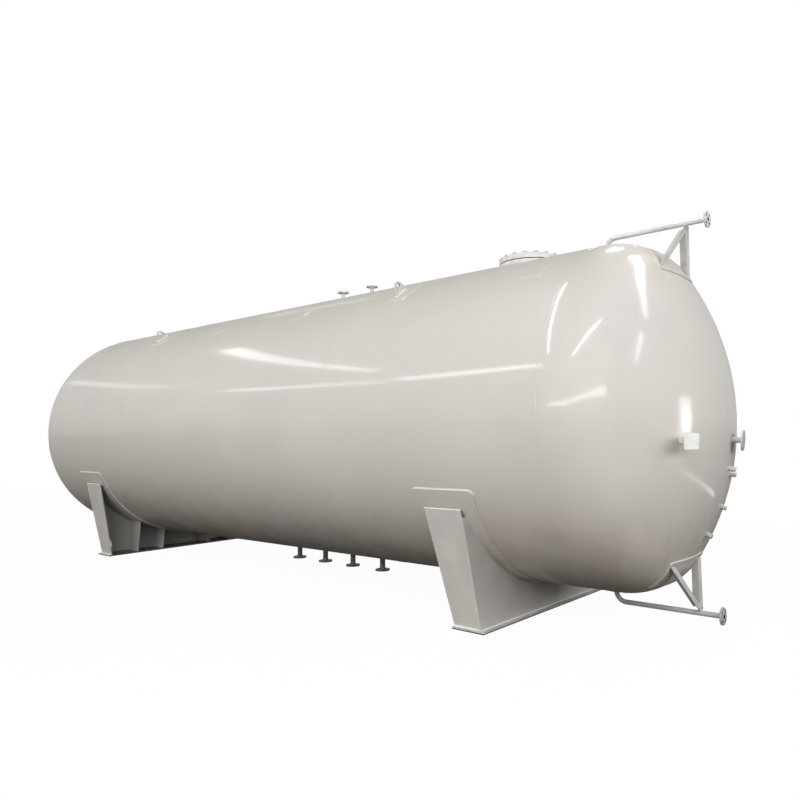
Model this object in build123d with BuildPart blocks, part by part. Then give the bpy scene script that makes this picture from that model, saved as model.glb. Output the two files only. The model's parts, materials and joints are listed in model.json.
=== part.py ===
from build123d import *
from math import asin, atan2, cos, degrees, hypot, radians, sin, sqrt
import os

# A horizontal pressure tank on two saddles, in millimetres.
# Z is up, +X runs along the tank to the end with the gauge pipes, and -Y is the front.
# The origin is the middle of the underside of the fixed saddle's base plate.

# Vessel shell
inner_radius = 1500.0
shell_wall = 16.0
middle_course_length = 3580.0
end_course_length = 2440.0
head_wall = 16.0
head_skirt = 50.0
crown_radius = 2425.6
knuckle_radius = 508.0
under_shell = 260.0

# Places along the tank are measured from its middle; what sits near a seam is set off from it
shell_radius = inner_radius + shell_wall
saddle_height = shell_radius + under_shell
middle_seam = middle_course_length / 2
course_end = middle_seam + end_course_length
tangent_end = course_end + head_skirt

# Curved seats and set-in pipes have this much room for the weld root
weld_gap = 0.3

# Saddles
saddle_inset = 1005.0
saddle_offset = course_end - saddle_inset
web_outset = 190.0
sliding_saddle_inset = 35.0
base_length = 2310.0
base_width = 330.0
base_thickness = 20.0
base_overhang = 48.0
rib_setback = 32.0
rib_top_drop = 758.0
rib_stand_off = 51.0
web_thickness = 14.0
web_notch = 60.0
end_rib_thickness = 14.0
end_rib_width_bottom = 282.0
end_rib_width_top = 403.0
inner_rib_y = [-744.0, -372.0, 372.0, 744.0]
inner_rib_thickness = 12.0
wear_pad_width = 650.0
wear_pad_thickness = 12.0
wear_pad_half_angle = 66.9
wear_pad_corner = 45.0
middle_x = base_width / 2 - base_overhang - web_outset - saddle_offset
anchor_hole_diameter = 28.0
anchor_edge = 165.0
anchor_hole_spacing = base_length - 2 * anchor_edge
anchor_slot_length = 68.0

# Earthing lug on the sliding saddle
earth_lug_width = 95.0
earth_lug_length = 84.0
earth_lug_thickness = 8.0
earth_lug_overlap = 25.0
earth_lug_height = 170.0
earth_hole_spacing = 45.0
earth_hole_diameter = 13.0

# Manway
manway_inset = 994.0
manway_x = course_end - manway_inset
manway_diameter = 620.0
manway_bore = 400.0
manway_seat_height = 13.0
manway_gasket_diameter = 460.0
manway_gasket_thickness = 10.0
manway_cover_thickness = 52.0
manway_stud_circle = 550.0
manway_stud_count = 16
manway_stud_hole = 33.0
manway_chamfer = 4.0

# Small flanges: outside, thickness, hub foot and length, raised face, bolt circle and holes
pipe_32 = dict(pipe=42.4, wall=3.6, outside=140.0, thick=18.0, hub=60.0, hub_length=42.0,
               face=78.0, step=2.0, circle=100.0, holes=4, hole=18.0)
pipe_50 = dict(pipe=60.3, wall=4.5, outside=165.0, thick=20.0, hub=75.0, hub_length=48.0,
               face=102.0, step=3.0, circle=125.0, holes=4, hole=18.0)

# Nozzles
nozzle_inside = 5.0
top_nozzle_x = [455.0, 970.0]
top_nozzle_reach = 144.0
bottom_nozzle_x = [-360.0, 140.0, 640.0, 1140.0]
bottom_nozzle_reach = 174.0

# Gauge pipes and the braces that hold them off the head
gauge_pipe_inset = 152.0
gauge_pipe_x = course_end - gauge_pipe_inset
gauge_flange_reach = 738.0
gauge_flange_x = tangent_end + gauge_flange_reach
gauge_pipe_rise = 118.0
gauge_bend_radius = 90.0
brace_reach = 556.0
brace_x = tangent_end + brace_reach
brace_leg = 60.0
brace_thickness = 6.0
brace_foot_front = 310.0
brace_foot_rear = 260.0
brace_foot_drop = 291.0
head_pad_width = 700.0
head_pad_height = 225.0
head_pad_drop = 96.0
head_pad_thickness = 10.0
head_pad_corner = 20.0

# Lifting lugs
lug_seam_gap = 500.0
lug_x = middle_seam + lug_seam_gap
lug_angle = 35.0
lug_pad_length = 280.0
lug_pad_width = 290.0
lug_pad_thickness = 12.0
lug_pad_corner = 25.0
lug_width = 160.0
lug_shoulder = 20.0
lug_eye_height = 85.0
lug_thickness = 22.0
lug_nose_radius = 42.0
lug_eye_diameter = 45.0

# Small clip pads in the same row as the lugs
clip_seam_gap = 990.0
end_clip_inset = 360.0
inner_clip_x = middle_seam - clip_seam_gap
outer_clip_x = course_end - end_clip_inset
clip_x = [-outer_clip_x, -inner_clip_x, inner_clip_x, outer_clip_x]
clip_angle = 37.5
clip_length = 220.0
clip_width = 190.0
clip_thickness = 8.0
clip_corner = 15.0

# Plate bracket and instrument nozzle on the piped head
plate_y = -687.0
plate_z = -212.0
plate_width = 170.0
plate_height = 120.0
plate_thickness = 5.0
plate_corner = 15.0
plate_stem_length = 110.0
plate_stem_width = 42.0
plate_stem_thickness = 8.0
stub_y = 335.0
stub_z = -220.0
stub_pipe_diameter = 48.3
stub_pipe_wall = 3.7
stub_length = 75.0
stub_disc_diameter = 175.0
stub_disc_thickness = 12.0
coupling_diameter = 42.0
coupling_bore = 21.0
coupling_places = [(260.0, -460.0, 60.0), (400.0, -515.0, 50.0), (390.0, -800.0, 40.0), (150.0, -1010.0, 50.0)]

os.makedirs("parts", exist_ok=True)


def save(piece, name):
    """Label one finished piece and write it."""
    piece.label = name
    export_step(piece, f"parts/{name}.step")


def across_tank(x):
    """Upright plane across the tank, its origin on the tank's axis."""
    return Plane(origin=(middle_x + x, 0, saddle_height), x_dir=(0, 1, 0), z_dir=(1, 0, 0))


def along_axis(point, direction, across):
    """Plane through a pipe's axis: local Y runs along the direction, local X across it."""
    side = Vector(*across).cross(Vector(*direction))
    return Plane(origin=point, x_dir=across, z_dir=side)


tank_axis = Axis((middle_x, 0, saddle_height), (1, 0, 0))
lengthwise = Plane(origin=(middle_x, 0, saddle_height), x_dir=(1, 0, 0), z_dir=(0, -1, 0))

# The head's knuckle rolls from the skirt and meets the crown where both have one tangent
knuckle_ring = shell_radius - knuckle_radius
crown_back = sqrt((crown_radius - knuckle_radius)**2 - knuckle_ring**2)
knuckle_turn = degrees(atan2(knuckle_ring, crown_back))
head_depth = crown_radius - crown_back


def head_curve(grow):
    """Half outline of the near head, grown by some amount: knuckle arc, then crown arc."""
    CenterArc((tangent_end, knuckle_ring), knuckle_radius + grow, 90, knuckle_turn - 90)
    CenterArc((tangent_end - crown_back, 0), crown_radius + grow, knuckle_turn, -knuckle_turn)


def dish(inner_grow, outer_grow, skirt):
    """A layer of the near head between two offsets of its outside, filled where inner is None."""
    rim = tangent_end - skirt
    deep = tangent_end + head_depth + outer_grow
    wide = shell_radius + outer_grow
    with BuildPart() as layer:
        with BuildSketch(lengthwise):
            with BuildLine():
                head_curve(outer_grow)
                if inner_grow is None:
                    Polyline((tangent_end, wide), (rim, wide), (rim, 0), (deep, 0))
                else:
                    shallow = head_depth + inner_grow
                    narrow = shell_radius + inner_grow
                    head_curve(inner_grow)
                    Line((tangent_end + shallow, 0), (deep, 0))
                    if skirt > 0:
                        Polyline((tangent_end, narrow), (rim, narrow), (rim, wide), (tangent_end, wide))
                    else:
                        Line((tangent_end, narrow), (tangent_end, wide))
            make_face()
        revolve(axis=tank_axis)
    return layer.part


def head_point(y, z, grow=0.0):
    """Point on the near head's outside, grown by some amount, at a given Y and height."""
    off_axis = hypot(y, z)
    if off_axis < (crown_radius + grow) * sin(radians(knuckle_turn)):
        reach = sqrt((crown_radius + grow)**2 - off_axis**2) - crown_back
    else:
        reach = sqrt((knuckle_radius + grow)**2 - (off_axis - knuckle_ring)**2)
    return Vector(middle_x + tangent_end + reach, y, saddle_height + z)


def head_normal(y, z):
    """Outward direction of the near head at a given Y and height."""
    off_axis = hypot(y, z)
    if off_axis < crown_radius * sin(radians(knuckle_turn)):
        tilt = asin(off_axis / crown_radius)
    else:
        tilt = asin((off_axis - knuckle_ring) / knuckle_radius)
    return Vector(cos(tilt), sin(tilt) * y / off_axis, sin(tilt) * z / off_axis)


# Shell courses
top_holes = [(x, pipe_32["pipe"] / 2, 1) for x in top_nozzle_x]
bottom_holes = [(x, pipe_50["pipe"] / 2, -1) for x in bottom_nozzle_x]
gauge_holes = [(gauge_pipe_x, pipe_32["pipe"] / 2, side) for side in (1, -1)]
courses = {
    "shell_course_far": (-course_end, end_course_length, []),
    "shell_course_middle": (-middle_seam, middle_course_length, top_holes + bottom_holes),
    "shell_course_near": (middle_seam, end_course_length, gauge_holes),
}
for name, (start, length, holes) in courses.items():
    with BuildPart() as course:
        with BuildSketch(across_tank(start)):
            Circle(shell_radius)
            Circle(inner_radius, mode=Mode.SUBTRACT)
        extrude(amount=length)
        for x, radius, side in holes:
            centre = (middle_x + x, 0, saddle_height)
            with BuildSketch(Plane(origin=centre, x_dir=(1, 0, 0), z_dir=(0, 0, side))):
                Circle(radius + weld_gap)
            extrude(amount=shell_radius + shell_wall, mode=Mode.SUBTRACT)
        if name == "shell_course_near":
            centre = (middle_x + manway_x, 0, saddle_height)
            with BuildSketch(Plane(origin=centre)):
                Circle(manway_bore / 2)
            extrude(amount=shell_radius + shell_wall, mode=Mode.SUBTRACT)
    save(course.part, name)

# Dished heads with a short straight skirt
with BuildPart() as head_near:
    add(dish(-head_wall, 0, head_skirt))
save(head_near.part, "head_near")

with BuildPart() as head_far:
    mirror(head_near.part, about=across_tank(0))
save(head_far.part, "head_far")

# Saddles: wear pad, upright web, tapered end ribs, inner ribs and base plate
pad_inner = shell_radius + weld_gap
pad_outer = pad_inner + wear_pad_thickness
seat_radius = pad_outer + weld_gap
base_top = base_thickness - saddle_height
rib_top = -rib_top_drop
web_top = rib_top - web_notch

# The end ribs lean outwards, flush with the web's sloping ends
rib_half_bottom = base_length / 2 - rib_setback
rib_half_top = sqrt(shell_radius**2 - rib_top**2) + rib_stand_off
end_lean = Vector(0, rib_half_top - rib_half_bottom, rib_top - base_top)
web_half_top = rib_half_bottom + end_lean.Y * (web_top - base_top) / end_lean.Z
end_rise = end_lean.length
end_lean = end_lean.normalized()


def end_rib_face(face_x, end, side):
    """Outer face of a leaning end rib: local X runs inwards from the web, local Y up the slope."""
    return Plane(
        origin=(face_x, side * rib_half_bottom, saddle_height + base_top),
        x_dir=(-end, 0, 0),
        z_dir=Vector(-end, 0, 0).cross(Vector(0, side * end_lean.Y, end_lean.Z)),
    )


for name, end in (("sliding_saddle", -1), ("fixed_saddle", 1)):
    centre_x = end * saddle_offset
    web_face = end * (saddle_offset + web_outset - (sliding_saddle_inset if end < 0 else 0))
    web_inner = web_face - end * web_thickness
    base_centre = web_face + end * (base_overhang - base_width / 2)

    with BuildPart() as wear_pad:
        with BuildSketch(across_tank(centre_x)):
            with BuildLine():
                CenterArc((0, 0), pad_outer, -90 - wear_pad_half_angle, 2 * wear_pad_half_angle)
                CenterArc((0, 0), pad_inner, -90 - wear_pad_half_angle, 2 * wear_pad_half_angle)
                for side in (-1, 1):
                    turn = radians(-90 + side * wear_pad_half_angle)
                    Line((pad_inner * cos(turn), pad_inner * sin(turn)),
                         (pad_outer * cos(turn), pad_outer * sin(turn)))
            make_face()
        extrude(amount=wear_pad_width / 2, both=True)
        short_edges = wear_pad.edges().filter_by(GeomType.LINE)
        corners = short_edges.filter_by(lambda edge: abs(edge.tangent_at(0).X) < 0.5)
        fillet(corners, wear_pad_corner)
    save(wear_pad.part, f"{name}_wear_pad")

    with BuildPart() as web:
        with BuildSketch(across_tank(web_face)):
            Polygon((-web_half_top, web_top), (-rib_half_bottom, base_top), (rib_half_bottom, base_top),
                    (web_half_top, web_top), align=None)
            Circle(seat_radius, mode=Mode.SUBTRACT)
        extrude(amount=-end * web_thickness)
    save(web.part, f"{name}_web")

    with BuildPart() as end_ribs:
        for side in (-1, 1):
            with BuildSketch(end_rib_face(middle_x + web_face, end, side)):
                Polygon((web_thickness, -end_rib_thickness), (end_rib_width_bottom, -end_rib_thickness),
                        (end_rib_width_bottom, 0), (end_rib_width_top, end_rise),
                        (web_thickness, end_rise), align=None)
            extrude(amount=-end * side * end_rib_thickness)
        with BuildSketch(across_tank(centre_x)):
            Circle(seat_radius)
        extrude(amount=wear_pad_width, both=True, mode=Mode.SUBTRACT)
        split(bisect_by=Plane(origin=(0, 0, base_thickness)), keep=Keep.TOP)
    save(end_ribs.part, f"{name}_end_ribs")

    with BuildPart() as inner_ribs:
        for y in inner_rib_y:
            rib_plane = Plane(
                origin=(middle_x + web_inner, y, saddle_height),
                x_dir=(-end, 0, 0),
                z_dir=(0, end, 0),
            )
            reach = end_rib_width_bottom - web_thickness
            reach_top = end_rib_width_top - web_thickness
            with BuildSketch(rib_plane):
                Polygon((0, base_top), (reach, base_top), (reach_top, rib_top), (0, rib_top), align=None)
            extrude(amount=inner_rib_thickness / 2, both=True)
        with BuildSketch(across_tank(centre_x)):
            Circle(seat_radius)
        extrude(amount=wear_pad_width, both=True, mode=Mode.SUBTRACT)
    save(inner_ribs.part, f"{name}_inner_ribs")

    with BuildPart() as base:
        with BuildSketch(Plane(origin=(middle_x + base_centre, 0, 0))):
            Rectangle(base_width, base_length)
            with Locations((0, -anchor_hole_spacing / 2), (0, anchor_hole_spacing / 2)):
                if end > 0:
                    Circle(anchor_hole_diameter / 2, mode=Mode.SUBTRACT)
                else:
                    SlotOverall(anchor_slot_length, anchor_hole_diameter, mode=Mode.SUBTRACT)
        extrude(amount=base_thickness)
    save(base.part, f"{name}_base_plate")

# Earthing lug, past the inner edge of the sliding saddle's front end rib
sliding_web_face = middle_x - saddle_offset - web_outset + sliding_saddle_inset
rib_widening = (end_rib_width_top - end_rib_width_bottom) * earth_lug_height / end_rise
rib_edge = end_rib_width_bottom + rib_widening
with BuildPart() as earth_lug:
    with BuildSketch(end_rib_face(sliding_web_face, -1, -1)):
        with Locations((rib_edge - earth_lug_overlap + earth_lug_width / 2, earth_lug_height)):
            RectangleRounded(earth_lug_width, earth_lug_length, earth_lug_width / 10)
        hole_x = rib_edge + (earth_lug_width - earth_lug_overlap) / 2
        for step in (-1, 1):
            with Locations((hole_x, earth_lug_height + step * earth_hole_spacing / 2)):
                Circle(earth_hole_diameter / 2, mode=Mode.SUBTRACT)
    extrude(amount=earth_lug_thickness)
save(earth_lug.part, "earthing_lug")


def neck_flange(face, direction, across, size):
    """Flange with a tapered hub behind its face, as a turned forging with drilled holes."""
    bore = size["pipe"] / 2 - size["wall"]
    pipe = size["pipe"] / 2
    hub = size["hub"] / 2
    rim = size["outside"] / 2
    raised = size["face"] / 2
    with BuildPart() as forging:
        with BuildSketch(along_axis(face, direction, across)):
            Polygon((bore, 0), (raised, 0), (raised, -size["step"]), (rim, -size["step"]),
                    (rim, -size["thick"]), (hub, -size["thick"]), (pipe, -size["hub_length"]),
                    (bore, -size["hub_length"]), align=None)
        revolve(axis=Axis(face, direction))
        with BuildSketch(Plane(origin=face, x_dir=across, z_dir=direction)):
            with PolarLocations(size["circle"] / 2, size["holes"], start_angle=180 / size["holes"]):
                Circle(size["hole"] / 2)
        extrude(amount=-size["thick"], mode=Mode.SUBTRACT)
    return forging.part


def nozzle_neck(x, side, reach, size):
    """Pipe from just inside the shell to the foot of its flange's hub."""
    start = inner_radius - nozzle_inside
    foot = (middle_x + x, 0, saddle_height + side * start)
    with BuildPart() as neck:
        with BuildSketch(Plane(origin=foot, x_dir=(1, 0, 0), z_dir=(0, 0, side))):
            Circle(size["pipe"] / 2)
            Circle(size["pipe"] / 2 - size["wall"], mode=Mode.SUBTRACT)
        extrude(amount=shell_radius + reach - size["hub_length"] - start)
    return neck.part


# Top and bottom nozzles: a pipe neck set through the shell and a flange on its end
nozzle_rows = (
    ("top_nozzle", top_nozzle_x, 1, top_nozzle_reach, pipe_32),
    ("bottom_nozzle", bottom_nozzle_x, -1, bottom_nozzle_reach, pipe_50),
)
for row, places, side, reach, size in nozzle_rows:
    with BuildPart() as necks:
        for x in places:
            add(nozzle_neck(x, side, reach, size))
    save(necks.part, f"{row}_necks")
    for number, x in enumerate(places, start=1):
        face = (middle_x + x, 0, saddle_height + side * (shell_radius + reach))
        save(neck_flange(face, (0, 0, side), (1, 0, 0), size), f"{row}_flange_{number}")

def gauge_brace(side, hand, pipe_z):
    """Angle bar from the head's pad up to the near side of a gauge pipe."""
    foot_y = brace_foot_rear if hand > 0 else -brace_foot_front
    foot_z = side * (shell_radius - brace_foot_drop)
    seat = head_point(foot_y, foot_z, weld_gap + head_pad_thickness)
    pipe_edge = pipe_z - side * (pipe_32["pipe"] / 2 + weld_gap)
    tip = Vector(middle_x + brace_x, 0, pipe_edge)
    lean = (tip - seat).normalized()
    flat = Vector(0, hand, 0)
    flat = (flat - lean * flat.dot(lean)).normalized()
    section = Plane(origin=seat - lean * brace_leg * 2, x_dir=flat, z_dir=lean)
    back = -1 if section.y_dir.X > 0 else 1
    half = brace_leg / 2
    with BuildPart() as bar:
        with BuildSketch(section):
            Polygon((half, 0), (-half, 0), (-half, back * brace_leg),
                    (brace_thickness - half, back * brace_leg),
                    (brace_thickness - half, back * brace_thickness),
                    (half, back * brace_thickness), align=None)
        extrude(amount=(tip - seat).length + brace_leg * 4)
        split(bisect_by=Plane(origin=(0, hand * weld_gap / 2, 0), z_dir=(0, hand, 0)), keep=Keep.TOP)
        split(bisect_by=Plane(origin=(0, 0, pipe_edge), z_dir=(0, 0, -side)), keep=Keep.TOP)
        add(dish(None, 2 * weld_gap + head_pad_thickness, head_skirt), mode=Mode.SUBTRACT)
    return bar.part


# Gauge pipes: out of the shell, round a bend and along past the head
gauge_bore = pipe_32["pipe"] / 2 - pipe_32["wall"]
brace_nodes = (("upper", 1), ("lower", -1))
for name, side in brace_nodes:
    pipe_z = saddle_height + side * (shell_radius + gauge_pipe_rise)
    with BuildPart() as gauge_pipe:
        with BuildLine() as route:
            FilletPolyline(
                (middle_x + gauge_pipe_x, 0, saddle_height + side * (inner_radius - nozzle_inside)),
                (middle_x + gauge_pipe_x, 0, pipe_z),
                (middle_x + gauge_flange_x - pipe_32["hub_length"], 0, pipe_z),
                radius=gauge_bend_radius,
            )
        with BuildSketch(Plane(origin=route.line @ 0, x_dir=(1, 0, 0), z_dir=route.line % 0)):
            Circle(pipe_32["pipe"] / 2)
            Circle(gauge_bore, mode=Mode.SUBTRACT)
        sweep(path=route.line)
    save(gauge_pipe.part, f"{name}_gauge_pipe")
    face = (middle_x + gauge_flange_x, 0, pipe_z)
    save(neck_flange(face, (1, 0, 0), (0, 1, 0), pipe_32), f"{name}_gauge_flange")

    with BuildPart() as brace_pad:
        add(dish(weld_gap, weld_gap + head_pad_thickness, 0))
        middle_z = side * (shell_radius - head_pad_drop - head_pad_height / 2)
        centre = (middle_x + tangent_end, 0, saddle_height + middle_z)
        with BuildSketch(Plane(origin=centre, x_dir=(0, 1, 0), z_dir=(1, 0, 0))):
            RectangleRounded(head_pad_width, head_pad_height, head_pad_corner)
        extrude(amount=head_depth * 2, mode=Mode.INTERSECT)
    save(brace_pad.part, f"{name}_brace_pad")

    with BuildPart() as braces:
        for hand in (-1, 1):
            add(gauge_brace(side, hand, pipe_z))
    save(braces.part, f"{name}_gauge_braces")

# Manway: a ring seated on the shell, a gasket and a thick bolted cover
manway_axis = (middle_x + manway_x, 0, saddle_height)
ring_top = shell_radius + manway_seat_height
gasket_top = ring_top + manway_gasket_thickness
with BuildPart() as manway_ring:
    with BuildSketch(Plane(origin=manway_axis)):
        Circle(manway_diameter / 2)
        Circle(manway_bore / 2, mode=Mode.SUBTRACT)
        with PolarLocations(manway_stud_circle / 2, manway_stud_count):
            Circle(manway_stud_hole / 2, mode=Mode.SUBTRACT)
    extrude(amount=ring_top)
    with BuildSketch(across_tank(manway_x)):
        Circle(shell_radius + weld_gap)
    extrude(amount=manway_diameter, both=True, mode=Mode.SUBTRACT)
save(manway_ring.part, "manway_ring")

with BuildPart() as manway_gasket:
    with BuildSketch(Plane(origin=manway_axis).offset(ring_top)):
        Circle(manway_gasket_diameter / 2)
        Circle(manway_bore / 2, mode=Mode.SUBTRACT)
    extrude(amount=manway_gasket_thickness)
save(manway_gasket.part, "manway_gasket")

with BuildPart() as manway_cover:
    with BuildSketch(Plane(origin=manway_axis).offset(gasket_top)):
        Circle(manway_diameter / 2)
        with PolarLocations(manway_stud_circle / 2, manway_stud_count):
            Circle(manway_stud_hole / 2, mode=Mode.SUBTRACT)
    extrude(amount=manway_cover_thickness)
    chamfer(manway_cover.faces().sort_by(Axis.Z)[-1].outer_wire().edges(), manway_chamfer)
save(manway_cover.part, "manway_cover")


def outward_plane(x, angle):
    """Plane on the tank's axis that looks out through the shell, turned from the top to the front."""
    outward = (0, -sin(radians(angle)), cos(radians(angle)))
    return Plane(origin=(middle_x + x, 0, saddle_height), x_dir=(1, 0, 0), z_dir=outward)


def shell_pad(x, angle, length, width, thickness, corner):
    """Rounded plate rolled to the shell, at a place along it and an angle from the top."""
    inner = shell_radius + weld_gap
    with BuildPart() as pad:
        with BuildSketch(across_tank(x)):
            Circle(inner + thickness)
            Circle(inner, mode=Mode.SUBTRACT)
        extrude(amount=length, both=True)
        with BuildSketch(outward_plane(x, angle)):
            RectangleRounded(length, width, corner)
        extrude(amount=inner + 2 * thickness, mode=Mode.INTERSECT)
    return pad.part


def lifting_lug(x, angle):
    """Upright eye plate across the tank, standing on its pad."""
    foot = shell_radius + 2 * weld_gap + lug_pad_thickness
    eye = shell_radius + lug_eye_height
    turn = radians(angle)
    lug_plane = Plane(
        origin=(middle_x + x, 0, saddle_height),
        x_dir=(0, cos(turn), sin(turn)),
        z_dir=(1, 0, 0),
    )
    with BuildPart() as lug:
        with BuildSketch(lug_plane):
            with Locations((0, eye)):
                Circle(lug_nose_radius)
            with Locations((0, foot)):
                Rectangle(lug_width, lug_shoulder * 2)
            make_hull()
            with Locations((0, eye)):
                Circle(lug_eye_diameter / 2, mode=Mode.SUBTRACT)
            Circle(foot, mode=Mode.SUBTRACT)
        extrude(amount=lug_thickness / 2, both=True)
    return lug.part


# Lifting lugs on both sides of the top, two to a side, and the small pads in their rows
with BuildPart() as lug_pads:
    for x in (-lug_x, lug_x):
        for angle in (-lug_angle, lug_angle):
            add(shell_pad(x, angle, lug_pad_length, lug_pad_width, lug_pad_thickness, lug_pad_corner))
save(lug_pads.part, "lifting_lug_pads")

with BuildPart() as lugs:
    for x in (-lug_x, lug_x):
        for angle in (-lug_angle, lug_angle):
            add(lifting_lug(x, angle))
save(lugs.part, "lifting_lugs")

with BuildPart() as clip_pads:
    for x in clip_x:
        for angle in (-clip_angle, clip_angle):
            add(shell_pad(x, angle, clip_length, clip_width, clip_thickness, clip_corner))
save(clip_pads.part, "clip_pads")


def off_head(y, z, distance):
    """Plane square to the near head, at a distance off its outside: local X runs level."""
    outward = head_normal(y, z)
    level = Vector(0, 0, 1).cross(outward).normalized()
    return Plane(origin=head_point(y, z) + outward * distance, x_dir=level, z_dir=outward)


# Plate bracket on the front of the near head
with BuildPart() as plate_stem:
    with BuildSketch(off_head(plate_y, plate_z, plate_stem_length)):
        Rectangle(plate_stem_thickness, plate_stem_width)
    extrude(amount=-plate_stem_length * 2)
    add(dish(None, weld_gap, head_skirt), mode=Mode.SUBTRACT)
save(plate_stem.part, "plate_bracket_stem")

with BuildPart() as bracket_plate:
    with BuildSketch(off_head(plate_y, plate_z, plate_stem_length)):
        RectangleRounded(plate_width, plate_height, plate_corner)
    extrude(amount=plate_thickness)
save(bracket_plate.part, "bracket_plate")

# Instrument stub with a plain disc, and small couplings, on the rear of the near head
with BuildPart() as stub_pipe:
    with BuildSketch(off_head(stub_y, stub_z, stub_length)):
        Circle(stub_pipe_diameter / 2)
        Circle(stub_pipe_diameter / 2 - stub_pipe_wall, mode=Mode.SUBTRACT)
    extrude(amount=-stub_length * 2)
    add(dish(None, weld_gap, head_skirt), mode=Mode.SUBTRACT)
save(stub_pipe.part, "instrument_stub_pipe")

with BuildPart() as stub_disc:
    with BuildSketch(off_head(stub_y, stub_z, stub_length)):
        Circle(stub_disc_diameter / 2)
    extrude(amount=stub_disc_thickness)
save(stub_disc.part, "instrument_stub_disc")

with BuildPart() as couplings:
    for y, z, length in coupling_places:
        with BuildSketch(off_head(y, z, length)):
            Circle(coupling_diameter / 2)
            Circle(coupling_bore / 2, mode=Mode.SUBTRACT)
        extrude(amount=-length * 2)
    add(dish(None, weld_gap, head_skirt), mode=Mode.SUBTRACT)
save(couplings.part, "head_couplings")
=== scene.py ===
import json
import math

import bpy
from mathutils import Matrix, Vector


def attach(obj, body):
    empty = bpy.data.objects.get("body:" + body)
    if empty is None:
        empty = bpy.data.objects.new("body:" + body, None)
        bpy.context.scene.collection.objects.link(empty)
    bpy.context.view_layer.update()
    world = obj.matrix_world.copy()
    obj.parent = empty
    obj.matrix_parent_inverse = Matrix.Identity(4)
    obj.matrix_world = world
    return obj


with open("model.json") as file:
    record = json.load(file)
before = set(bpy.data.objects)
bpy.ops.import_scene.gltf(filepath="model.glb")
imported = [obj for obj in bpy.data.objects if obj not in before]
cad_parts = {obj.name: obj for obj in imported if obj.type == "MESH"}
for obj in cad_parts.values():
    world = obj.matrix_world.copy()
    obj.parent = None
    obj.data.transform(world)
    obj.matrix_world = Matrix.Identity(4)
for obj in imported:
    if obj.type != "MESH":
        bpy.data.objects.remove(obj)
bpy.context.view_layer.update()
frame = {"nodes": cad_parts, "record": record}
nodes = frame["nodes"]
print("frame loaded:", len(nodes), "nodes")

# metres; X along the tank to the end with the gauge pipes, front side at -Y
tank = {"middleX": -3.298, "axisZ": 1.776, "radius": 1.516, "courseEnd": 4.230, "midSeam": 1.790,
        "tangent": 4.280}

# the photograph's viewpoint
view = {"at": (3.627, -5.714, 1.5995), "yaw": 2.2396, "pitch": 0.0796, "roll": -0.0118,
        "lens": 30.966, "sensor": 36, "shiftX": -0.0836, "shiftY": -0.0215, "reach": 300}


def aimCamera():
    yaw, pitch, roll = view["yaw"], view["pitch"], view["roll"]
    ahead = Vector((math.cos(pitch) * math.cos(yaw), math.cos(pitch) * math.sin(yaw), math.sin(pitch)))
    level = Vector((math.sin(yaw), -math.cos(yaw), 0))
    upright = level.cross(ahead)
    right = math.cos(roll) * level + math.sin(roll) * upright
    up = -math.sin(roll) * level + math.cos(roll) * upright
    turn = Matrix((right, up, -ahead)).transposed().to_4x4()
    bpy.ops.object.camera_add()
    camera = bpy.context.object
    camera.name = "viewpoint"
    camera.matrix_world = Matrix.Translation(view["at"]) @ turn
    camera.data.lens = view["lens"]
    camera.data.sensor_width = view["sensor"]
    camera.data.shift_x = view["shiftX"]
    camera.data.shift_y = view["shiftY"]
    camera.data.clip_end = view["reach"]
    bpy.context.scene.camera = camera


aimCamera()
bpy.context.scene.view_settings.view_transform = "Standard"
print("camera placed")


def linear(red, green, blue):
    # a colour as picked from a picture, 0-255, to the values shaders want
    out = []
    for value in (red, green, blue):
        share = value / 255
        out.append(share / 12.92 if share <= 0.04045 else ((share + 0.055) / 1.055) ** 2.4)
    return (*out, 1.0)


class Wire:
    # one output socket that can be used in a plain Python expression
    def __init__(self, paint, socket):
        self.paint = paint
        self.socket = socket

    def join(self, operation, other, flipped=False):
        pair = (other, self) if flipped else (self, other)
        return self.paint.node("ShaderNodeMath", {"operation": operation}, {0: pair[0], 1: pair[1]})

    def __add__(self, other):
        return self.join("ADD", other)

    __radd__ = __add__

    def __sub__(self, other):
        return self.join("SUBTRACT", other)

    def __rsub__(self, other):
        return self.join("SUBTRACT", other, True)

    def __mul__(self, other):
        return self.join("MULTIPLY", other)

    __rmul__ = __mul__

    def __gt__(self, other):
        return self.join("GREATER_THAN", other)

    def __lt__(self, other):
        return self.join("LESS_THAN", other)

    def __pow__(self, other):
        return self.join("POWER", other)

    def __abs__(self):
        return self.paint.node("ShaderNodeMath", {"operation": "ABSOLUTE"}, {0: self})


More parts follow.
